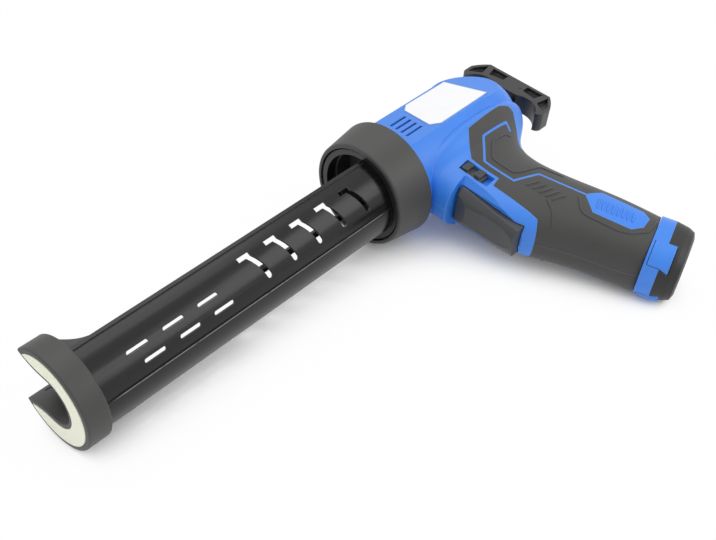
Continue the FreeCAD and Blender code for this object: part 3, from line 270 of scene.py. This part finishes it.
def bead_rings(corners, side, width, rise, sink):
    """A rounded bead laid on the grip: at each point of the line, an oval ring whose breadth lies across
    the line on the grip's surface and whose height stands out of it. Both taper at the ends."""
    line = even_points(corners, BEAD_STEP, BEAD_ROUND)
    along = np.gradient(line, axis=0)
    along /= np.linalg.norm(along, axis=1)[:, None]
    far = np.concatenate(([0], np.cumsum(np.linalg.norm(np.diff(line, axis=0), axis=1))))
    full = taper(np.minimum(far, far[-1] - far) / (BEAD_TAPER * width))[:, None]
    turn = side * np.linspace(0, 2 * np.pi, BEAD_SIDES, endpoint=False)[None, :]
    across = full * width / 2 * np.cos(turn)
    x = line[:, 0:1] - along[:, 1:2] * across
    y = line[:, 1:2] + along[:, 0:1] * across
    z = grip_side(x, y) + full * rise * np.sin(turn * side) - sink
    return mm(np.stack([x, y, side * z], axis=-1)) + BARREL_AXIS


def ring_piece(name, beads, body, material):
    """One mesh from several rows of rings: neighbours in a row are joined by squares, and both ends of
    the row are closed."""
    points, faces, start = [], [], 0
    for rings in beads:
        rows, around = rings.shape[:2]
        at = start + np.arange(rows * around).reshape(rows, around)
        turned = np.roll(at, -1, axis=1)
        squares = np.stack([at[:-1], turned[:-1], turned[1:], at[1:]], axis=-1).reshape(-1, 4)
        faces += squares.tolist() + [at[0, ::-1].tolist(), at[-1].tolist()]
        points += rings.reshape(-1, 3).tolist()
        start += rows * around
    mesh = bpy.data.meshes.new(name)
    mesh.from_pydata(points, [], faces)
    work = bmesh.new()
    work.from_mesh(mesh)
    bmesh.ops.recalc_face_normals(work, faces=work.faces)
    work.to_mesh(mesh)
    work.free()
    mesh.shade_smooth()
    mesh.materials.append(material)
    piece = bpy.data.objects.new(name, mesh)
    bpy.context.scene.collection.objects.link(piece)
    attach(piece, body)


def rib_line(i, first, step, run):
    """The two ends of one rib of a row: each starts one step further down the grip."""
    x = first[0] + i * step[0]
    y = first[1] + i * step[1]
    return ((x, y), (x + run[0], y + run[1]))


for side, word in ((1, "left"), (-1, "right")):
    lines = [bead_rings(path, side, **LINE_BEAD) for path in (THUMB_PANEL, INLAY_BORDER, FINGER_STEP)]
    ring_piece("grip_lines_" + word, lines, "housing", grip_rubber)
    ribs = [bead_rings(rib_line(i, RIB_FIRST, RIB_STEP, RIB_RUN), side, **RIB_BEAD) for i in range(RIB_COUNT)]
    ring_piece("grip_ribs_" + word, ribs, "housing", grip_rubber)

# Inlay ribs: eight fine slanting ribs on the blue inlay at the rear of the grip.
# They are moulded with the shell, which stands flush with the rubber there.
INLAY_RIBS = 8
INLAY_FIRST = (78.3, -121.1)
INLAY_STEP = (0.75, -3.1)
INLAY_RUN = (9.8, 3.8)
INLAY_BEAD = {"width": 1.7, "rise": 0.9, "sink": 0.1}
for side, word in ((1, "left"), (-1, "right")):
    ribs = [bead_rings(rib_line(i, INLAY_FIRST, INLAY_STEP, INLAY_RUN), side, **INLAY_BEAD)
            for i in range(INLAY_RIBS)]
    ring_piece("inlay_ribs_" + word, ribs, "housing", blue_abs)

# Gear train and bearing: gears, carrier, pinion, case, plate and bearing, all pressed and sintered steel.
# Sintering leaves a dark grey with fine pores, and the oil on it gives a soft gloss.


def sintered(name, dark, bright, pore, patch, smooth, rough, depth):
    """Pressed and sintered metal: colour between dark and bright and roughness between smooth and rough,
    both in patches, with pores as bump. Pore, patch and depth are in mm, and the pores are drawn coarser
    than real ones so that they show."""
    made, tree, shader, place = finish(name)
    pores = node(tree, "TexVoronoi", {}, {"Vector": place, "Scale": per_mm(pore)})
    tone = node(tree, "TexNoise", {}, {"Vector": place, "Scale": per_mm(patch), "Detail": 3.0})
    colour = node(tree, "Mix", {"data_type": "RGBA"},
                  {"Factor_Float": tone, "A_Color": linear(dark), "B_Color": linear(bright)}, "Result_Color")
    gloss = node(tree, "MapRange", {}, {"Value": tone, "To Min": smooth, "To Max": rough})
    bumped = node(tree, "Bump", {}, {"Strength": 0.4, "Distance": mm(depth), "Height": pores})
    plug(tree, shader, {"Base Color": colour, "Roughness": gloss, "Normal": bumped, "Metallic": 1.0})
    return made


gear_steel = sintered("sintered_gear_steel", "#6C6D70", "#8A8B8C",
                      pore=0.6, patch=5, smooth=0.28, rough=0.5, depth=0.04)
dress(gear_steel, "drive_pinion", "planet_carrier", "planet_gear_1", "planet_gear_2", "planet_gear_3",
      "sun_gear", "gear_case", "gear_plate", "output_bearing")

# Motor: a drawn steel can with its end cap, and the wound rotor on its shaft.
# Drawing leaves faint lines along the can under bright zinc.
made, tree, shader, place = finish("drawn_motor_steel")
pulled = node(tree, "Mapping", {}, {"Vector": place, "Scale": (1.0, 0.06, 1.0)})
lines = node(tree, "TexNoise", {}, {"Vector": pulled, "Scale": per_mm(0.7), "Detail": 3.0})
colour = node(tree, "Mix", {"data_type": "RGBA"},
              {"Factor_Float": lines, "A_Color": linear("#97999B"), "B_Color": linear("#B4B5B4")},
              "Result_Color")
gloss = node(tree, "MapRange", {}, {"Value": lines, "To Min": 0.25, "To Max": 0.45})
bumped = node(tree, "Bump", {}, {"Strength": 0.3, "Distance": mm(0.03), "Height": lines})
plug(tree, shader, {"Base Color": colour, "Roughness": gloss, "Normal": bumped, "Metallic": 1.0})
dress(made, "motor_can", "motor_cap", "motor_rotor")

# Push rod and its pin: a round rod with rack teeth cut in its right side, and the cross pin of the pull
# handle. Both are steel with a black oxide, rubbed to grey streaks along the rod where it slides.
made, tree, shader, place = finish("black_oxide_rod_steel")
pulled = node(tree, "Mapping", {}, {"Vector": place, "Scale": (0.04, 1.0, 1.0)})
drag = node(tree, "TexNoise", {}, {"Vector": pulled, "Scale": per_mm(1.2), "Detail": 4.0})
colour = node(tree, "ValToRGB", {}, {"Fac": drag})
ramp = tree.nodes["Color Ramp"].color_ramp
for stop, at, code in zip(ramp.elements, (0.45, 0.75), ("#242426", "#56575A")):
    stop.position = at
    stop.color = linear(code)
gloss = node(tree, "MapRange", {}, {"Value": drag, "To Min": 0.22, "To Max": 0.46})
soft = node(tree, "Bevel", {"samples": 4}, {"Radius": mm(0.3)})
bumped = node(tree, "Bump", {}, {"Strength": 0.3, "Distance": mm(0.03), "Height": drag, "Normal": soft})
plug(tree, shader, {"Base Color": colour, "Roughness": gloss, "Normal": bumped, "Metallic": 0.85})
dress(made, "push_rod", "handle_pin")

# Rod bushes: two sintered bronze bushes pressed into the housing, one in front and one at the rear.
# Bronze powder pressed and oiled gives a brown gold with fine pores.
bush_bronze = sintered("sintered_bush_bronze", "#8C6A3A", "#B08A4E",
                       pore=0.5, patch=3, smooth=0.3, rough=0.5, depth=0.03)
dress(bush_bronze, "rod_bush_front", "rod_bush_rear")

# Pull handle: black glass-filled nylon, moulded with a satin skin and pinned to the end of the rod.
# The skin is near black, with paler rubbed edges along the ribs and the tips.
black_nylon = moulded("black_nylon_satin", "#232324", "#2E2E2E", "#5C5B59",
                      roughness=0.38, grain=0.8, ior=1.53, edge=0.9)
dress(black_nylon, "pull_handle")

# Trigger and slide switch: grey-black acetal, moulded smooth so that they slide in the shells without
# grease. The finger polishes the trigger's face, so it is a little paler than the pull handle.
acetal = moulded("grey_black_acetal", "#3A3B3D", "#464749", "#707070",
                 roughness=0.40, grain=0.8, ior=1.48, edge=0.9)
dress(acetal, "trigger", "slide_switch")

# Trough: sheet steel rolled to a half round, punched with slots, welded to its ring and painted gloss
# black. The paint has a soft orange peel, and fine scratches run along it where cartridges slide in.
made, tree, shader, place = finish("gloss_black_trough_paint")
peel = node(tree, "TexNoise", {}, {"Vector": place, "Scale": per_mm(3.2), "Detail": 1.0})
pulled = node(tree, "Mapping", {}, {"Vector": place, "Scale": (0.02, 1.0, 1.0)})
slid = node(tree, "TexNoise", {}, {"Vector": pulled, "Scale": per_mm(1.6), "Detail": 5.0, "Roughness": 0.7})
scratch = node(tree, "MapRange", {}, {"Value": slid, "From Min": 0.60, "From Max": 0.78})
colour = node(tree, "Mix", {"data_type": "RGBA"},
              {"Factor_Float": scratch, "A_Color": linear("#0E0E0F"), "B_Color": linear("#2C2C2E")},
              "Result_Color")
soft, worn = edge_wear_and_shade(tree, 0.5, even=0.985, sharp=0.8, most=0.5)
colour = node(tree, "Mix", {"data_type": "RGBA"},
              {"Factor_Float": worn, "A_Color": colour, "B_Color": linear("#5A5A5C")}, "Result_Color")
gloss = node(tree, "MapRange", {},
             {"Value": slid, "From Min": 0.3, "From Max": 0.8, "To Min": 0.14, "To Max": 0.32})
bumped = node(tree, "Bump", {}, {"Strength": 0.18, "Distance": mm(0.05), "Height": peel, "Normal": soft})
plug(tree, shader, {"Base Color": colour, "Roughness": gloss, "Normal": bumped, "IOR": 1.43})
dress(made, "trough")

# Keel edges: the two folded edges of the flat strip under the trough, which the tool is slid about on.
# Their paint is rubbed through to bare steel in most places. Sizes are in mm from the collar's face on
# the barrel axis.
KEEL_R = 28.6
KEEL_ANGLE = math.radians(16.5)
KEEL_FRONT = -215.5
KEEL_REAR = -1.0
KEEL_BEAD = 0.5
STRAIGHT_ROWS = 24
STRAIGHT_SIDES = 10


def straight_rings(x0, x1, y, z, width, rise):
    """A straight bead along the barrel: oval rings of one breadth and height, which taper at both ends."""
    x = np.linspace(x0, x1, STRAIGHT_ROWS)[:, None]
    full = taper(np.minimum(x - x0, x1 - x) / width)
    turn = np.linspace(0, 2 * np.pi, STRAIGHT_SIDES, endpoint=False)[None, :]
    ring_y = y + full * width / 2 * np.cos(turn)
    ring_z = z + full * rise * np.sin(turn)
    return mm(np.stack([x + 0 * turn, ring_y, ring_z], axis=-1)) + BARREL_AXIS


made, tree, shader, place = finish("rubbed_keel_steel")
left_on = node(tree, "TexNoise", {}, {"Vector": place, "Scale": per_mm(8), "Detail": 5.0, "Roughness": 0.7})
bare = node(tree, "MapRange", {}, {"Value": left_on, "From Min": 0.26, "From Max": 0.46})
colour = node(tree, "Mix", {"data_type": "RGBA"},
              {"Factor_Float": bare, "A_Color": linear("#2A2A2B"), "B_Color": linear("#787979")},
              "Result_Color")
gloss = node(tree, "MapRange", {}, {"Value": left_on, "To Min": 0.22, "To Max": 0.42})
bumped = node(tree, "Bump", {}, {"Strength": 0.3, "Distance": mm(0.04), "Height": left_on})
plug(tree, shader, {"Base Color": colour, "Roughness": gloss, "Normal": bumped, "Metallic": bare})
keel_reach = KEEL_R - KEEL_BEAD / 4
edge_y = -keel_reach * math.cos(KEEL_ANGLE)
edge_z = keel_reach * math.sin(KEEL_ANGLE)
edges = [straight_rings(KEEL_FRONT, KEEL_REAR, edge_y, side * edge_z, KEEL_BEAD, KEEL_BEAD / 2)
         for side in (1, -1)]
ring_piece("keel_edges", edges, "barrel", made)

# Barrel ring, plunger and plunger nut: a pressed steel flange at the rear of the trough, held to the body
# by the collar, and the disc that drives the cartridge. Their paint is the same black, baked to a satin.
ring_paint = moulded("satin_black_ring_paint", "#19191A", "#232324", "#4A4A4B",
                     roughness=0.34, grain=1.1, ior=1.50, edge=0.6)
dress(ring_paint, "trough_ring", "plunger", "plunger_nut")

# Collar, front cap and barrel socket: dark grey glass-filled nylon, moulded matt, a little browner than
# the rubber. The collar is screwed onto the socket by hand and holds the barrel.
collar_nylon = moulded("dark_nylon_matt", "#353534", "#41403F", "#686765",
                       roughness=0.52, grain=1.0, ior=1.53, edge=1.0)
dress(collar_nylon, "retaining_collar", "front_cap", "barrel_socket")

# Front pad: a soft cream disc of cast silicone, set into the cap's face round the nozzle slot.
# It is slightly clouded and lets a little light into its skin.
made, tree, shader, place = finish("cream_pad_silicone")
cloud = node(tree, "TexNoise", {}, {"Vector": place, "Scale": per_mm(9), "Detail": 4.0})
colour = node(tree, "Mix", {"data_type": "RGBA"},
              {"Factor_Float": cloud, "A_Color": linear("#F2F3DA"), "B_Color": linear("#FBFCEC")},
              "Result_Color")
gloss = node(tree, "MapRange", {}, {"Value": cloud, "To Min": 0.42, "To Max": 0.58})
soft = node(tree, "Bevel", {"samples": 6}, {"Radius": mm(0.6)})
fine = node(tree, "TexNoise", {}, {"Vector": place, "Scale": per_mm(0.9), "Detail": 2.0})
bumped = node(tree, "Bump", {}, {"Strength": 0.3, "Distance": mm(0.04), "Height": fine, "Normal": soft})
plug(tree, shader, {"Base Color": colour, "Roughness": gloss, "Normal": bumped, "IOR": 1.43,
                    "Subsurface Weight": 0.1, "Subsurface Radius": (mm(2), mm(1.8), mm(1.2))})
dress(made, "front_pad")

# Slide switch grips: three small ridges across each nub, moulded with the slide, for the fingertip.
# The acetal is the trigger's, rubbed a little. Sizes are in mm, as on the grip.
SLIDE_X = 50.3
NUB_TOP = 22.6
NUB_HALF = 3.4
NUB_MIDDLES = (-43.8, -53.4)
RIDGE_PITCH = 1.3
RIDGE_WIDTH = 0.7
RIDGE_RISE = 0.35
ridges = [straight_rings(SLIDE_X - NUB_HALF, SLIDE_X + NUB_HALF, middle + k * RIDGE_PITCH, NUB_TOP,
                         RIDGE_WIDTH, RIDGE_RISE)
          for middle in NUB_MIDDLES for k in (-1, 0, 1)]
ring_piece("slide_ridges", ridges, "slide", acetal)

# Trigger spring and contact blades: zinc-plated spring steel and nickel-plated brass.
# Both are bright; the blades are a little yellower and faintly tarnished.
made, tree, shader, place = finish("nickel_plated_brass")
tarnish = node(tree, "TexNoise", {}, {"Vector": place, "Scale": per_mm(0.8), "Detail": 4.0})
colour = node(tree, "Mix", {"data_type": "RGBA"},
              {"Factor_Float": tarnish, "A_Color": linear("#B9AE86"), "B_Color": linear("#D2CBAE")},
              "Result_Color")
gloss = node(tree, "MapRange", {}, {"Value": tarnish, "To Min": 0.2, "To Max": 0.4})
bumped = node(tree, "Bump", {}, {"Strength": 0.25, "Distance": mm(0.02), "Height": tarnish})
plug(tree, shader, {"Base Color": colour, "Roughness": gloss, "Normal": bumped, "Metallic": 1.0})
dress(made, "battery_contacts")
dress(zinc_steel, "trigger_spring")

# Trigger switch, terminal block and battery case: black polyester, moulded smooth.
# It is hidden in the handle, and shows when the battery is drawn out.
case_plastic = moulded("black_polyester_smooth", "#1E1E1F", "#29292A", "#4E4E4E",
                       roughness=0.36, grain=1.2, ior=1.57, edge=0.5)
dress(case_plastic, "trigger_switch", "terminal_block", "battery_case")

# Control board: glass-epoxy board with a green solder mask over its copper.
# The mask is glossy, and the copper under it shows as paler straight tracks.
made, tree, shader, place = finish("green_solder_mask")
tracks = node(tree, "TexBrick", {"offset": 0.5, "squash": 1.0},
              {"Vector": place, "Scale": per_mm(6), "Color1": linear("#17603A"), "Color2": linear("#1C6E43"),
               "Mortar": linear("#2E8A58"), "Mortar Size": 0.03}, "Color")
weave = node(tree, "TexNoise", {}, {"Vector": place, "Scale": per_mm(0.9), "Detail": 2.0})
gloss = node(tree, "MapRange", {}, {"Value": weave, "To Min": 0.2, "To Max": 0.36})
bumped = node(tree, "Bump", {}, {"Strength": 0.2, "Distance": mm(0.03), "Height": weave})
plug(tree, shader, {"Base Color": tracks, "Roughness": gloss, "Normal": bumped, "IOR": 1.55})
dress(made, "control_board")

# Cells: three round lithium cells in shrunk PVC sleeves.
# The sleeve is smooth and shiny, with faint shrink ripples.
made, tree, shader, place = finish("shrunk_cell_sleeve")
ripple = node(tree, "TexNoise", {}, {"Vector": place, "Scale": per_mm(6), "Detail": 2.0})
colour = node(tree, "Mix", {"data_type": "RGBA"},
              {"Factor_Float": ripple, "A_Color": linear("#3F9D8B"), "B_Color": linear("#58B39F")},
              "Result_Color")
gloss = node(tree, "MapRange", {}, {"Value": ripple, "To Min": 0.2, "To Max": 0.34})
bumped = node(tree, "Bump", {}, {"Strength": 0.3, "Distance": mm(0.1), "Height": ripple})
plug(tree, shader, {"Base Color": colour, "Roughness": gloss, "Normal": bumped, "IOR": 1.53})
dress(made, "battery_cell_1", "battery_cell_2", "battery_cell_3")

# Battery shoulder and base: a blue ABS band on the case, with a sprung blue release button on each side,
# closed below by a black nylon base, which is moulded duller than the pull handle.
dress(blue_abs, "battery_band", "release_button_left", "release_button_right")
base_nylon = moulded("black_nylon_dull", "#1B1B1C", "#252526", "#4A4A49",
                     roughness=0.46, grain=0.8, ior=1.45, edge=0.9)
dress(base_nylon, "battery_base")

# Floor: a broad sheet of white card, tilted a little so that the tool lies on its collar, cap and battery.
# Card is matt and slightly uneven and takes the tool's shadow. Where it is seen in the open it is lifted
# towards white, by less the more of the sky the tool hides from it.
FLOOR_PITCH = math.radians(1.65)
FLOOR_ROLL = math.radians(6.55)
# Metres from edge to edge, and points along an edge
FLOOR_SPAN = 6.0
FLOOR_POINTS = 13
# The most that the card is lifted, how near a piece hides the sky, and the shares of open sky between
# which the lift grows
FLOOR_LIFT = 0.95
FLOOR_NEAR = mm(60)
FLOOR_HIDDEN = 0.15
FLOOR_OPEN = 0.6
floor_up = np.array([math.tan(FLOOR_PITCH), math.tan(FLOOR_ROLL), 1.0])
floor_up /= np.linalg.norm(floor_up)


def lowest_along(up):
    """The smallest distance of any packed point along a direction."""
    least = []
    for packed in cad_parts.values():
        flat = np.empty(len(packed.data.vertices) * 3)
        packed.data.vertices.foreach_get("co", flat)
        least.append((flat.reshape(-1, 3) @ up).min())
    return min(least)


def seen_straight(tree):
    """1 for rays from the camera, from a gloss or through a clear piece, and 0 for other light."""
    path = node(tree, "LightPath", {}, {}).node.outputs
    seen = node(tree, "Math", {"operation": "MAXIMUM"},
                {"Value": path["Is Camera Ray"], "Value_001": path["Is Glossy Ray"]})
    return node(tree, "Math", {"operation": "MAXIMUM"},
                {"Value": seen, "Value_001": path["Is Transmission Ray"]})


across = np.linspace(-FLOOR_SPAN / 2, FLOOR_SPAN / 2, FLOOR_POINTS)
u, v = np.meshgrid(across, across)
# The sheet's height at each grid point is what the tilted plane gives there
height = (lowest_along(floor_up) - floor_up[0] * u - floor_up[1] * v) / floor_up[2]
grid = np.arange(FLOOR_POINTS ** 2).reshape(FLOOR_POINTS, FLOOR_POINTS)
squares = np.stack([grid[:-1, :-1], grid[:-1, 1:], grid[1:, 1:], grid[1:, :-1]], axis=-1).reshape(-1, 4)
sheet = bpy.data.meshes.new("floor_card")
sheet.from_pydata(np.stack([u, v, height], axis=-1).reshape(-1, 3).tolist(), [], squares.tolist())
made, tree, shader, place = finish("white_card")
cloud = node(tree, "TexNoise", {}, {"Vector": place, "Scale": per_mm(140), "Detail": 2.0})
colour = node(tree, "Mix", {"data_type": "RGBA"},
              {"Factor_Float": cloud, "A_Color": linear("#FDFDFD"), "B_Color": linear("#FFFFFF")},
              "Result_Color")
plug(tree, shader, {"Base Color": colour, "Roughness": 0.9, "Specular IOR Level": 0.1})
open_sky = node(tree, "AmbientOcclusion", {"samples": 12}, {"Distance": FLOOR_NEAR}, "AO")
open_sky = node(tree, "MapRange", {},
                {"Value": open_sky, "From Min": FLOOR_HIDDEN, "From Max": FLOOR_OPEN,
                 "To Min": 0.0, "To Max": FLOOR_LIFT})
lift = node(tree, "Math", {"operation": "MULTIPLY"}, {"Value": seen_straight(tree), "Value_001": open_sky})
white = node(tree, "Emission", {}, {"Color": linear("#FFFFFF"), "Strength": 1.0})
card = node(tree, "MixShader", {},
            {"Fac": lift, "Shader": tree.nodes["Principled BSDF"].outputs["BSDF"], "Shader_001": white})
plug(tree, tree.nodes["Material Output"].inputs, {"Surface": card})
sheet.materials.append(made)
floor = bpy.data.objects.new("floor_card", sheet)
bpy.context.scene.collection.objects.link(floor)

# Light: a broad soft lamp above, behind the tool and to the left of the view, a weaker one at the right,
# and an even room, which is white to the camera and in reflections, and dimmer as light.
ROOM_LIGHT = 0.70
# Name, place, length and breadth in metres, and watts
LAMPS = (
    ("soft_box", (0.05, 0.55, 1.25), 1.3, 1.0, 5.7),
    ("strip_box", (0.34, -0.50, 0.58), 0.7, 0.45, 1.8),
)
for name, spot, long, wide, watts in LAMPS:
    lamp = bpy.data.lights.new(name, "AREA")
    lamp.shape = "RECTANGLE"
    lamp.size = long
    lamp.size_y = wide
    lamp.energy = watts
    box = bpy.data.objects.new(name, lamp)
    bpy.context.scene.collection.objects.link(box)
    box.matrix_world = Matrix.Translation(spot) @ Vector(spot).to_track_quat("Z", "Y").to_matrix().to_4x4()
room = bpy.data.worlds.new("white_room")
bpy.context.scene.world = room
room.use_nodes = True
tree = room.node_tree
power = node(tree, "MapRange", {}, {"Value": seen_straight(tree), "To Min": ROOM_LIGHT, "To Max": 1.0})
plug(tree, tree.nodes["Background"].inputs, {"Color": linear("#FFFFFF"), "Strength": power})

# Camera: above the muzzle on the tool's left, level with the card, so that the barrel comes towards the
# lower left. Its angles, distance and lens were fitted to the trough, collar and grip in the photograph.
CAMERA_AZIMUTH = math.radians(-47.812)
CAMERA_HEIGHT = math.radians(41.083)
CAMERA_FAR = 0.614893
CAMERA_ROLL = math.radians(6.0)
LOOK_AT = Vector((-0.052612, -0.047441, 0.0))
LENS_PIXELS = 1071.533
PHOTO_WIDTH = 716
SENSOR_WIDTH = 36.0
back = Vector((math.sin(CAMERA_AZIMUTH) * math.cos(CAMERA_HEIGHT),
               -math.cos(CAMERA_AZIMUTH) * math.cos(CAMERA_HEIGHT),
               math.sin(CAMERA_HEIGHT)))
right = Vector((math.cos(CAMERA_AZIMUTH), math.sin(CAMERA_AZIMUTH), 0.0))
up = back.cross(right)
turn = Matrix.Rotation(-CAMERA_ROLL, 3, "X")
spot = turn @ (LOOK_AT + back * CAMERA_FAR) + Vector(BARREL_AXIS.tolist())
view = bpy.data.cameras.new("photo_view")
view.sensor_width = SENSOR_WIDTH
view.lens = SENSOR_WIDTH * LENS_PIXELS / PHOTO_WIDTH
camera = bpy.data.objects.new("photo_view", view)
bpy.context.scene.collection.objects.link(camera)
axes = turn @ Matrix((right, up, back)).transposed()
camera.matrix_world = Matrix.Translation(spot) @ axes.to_4x4()
bpy.context.scene.camera = camera
bpy.context.scene.view_settings.view_transform = "Standard"
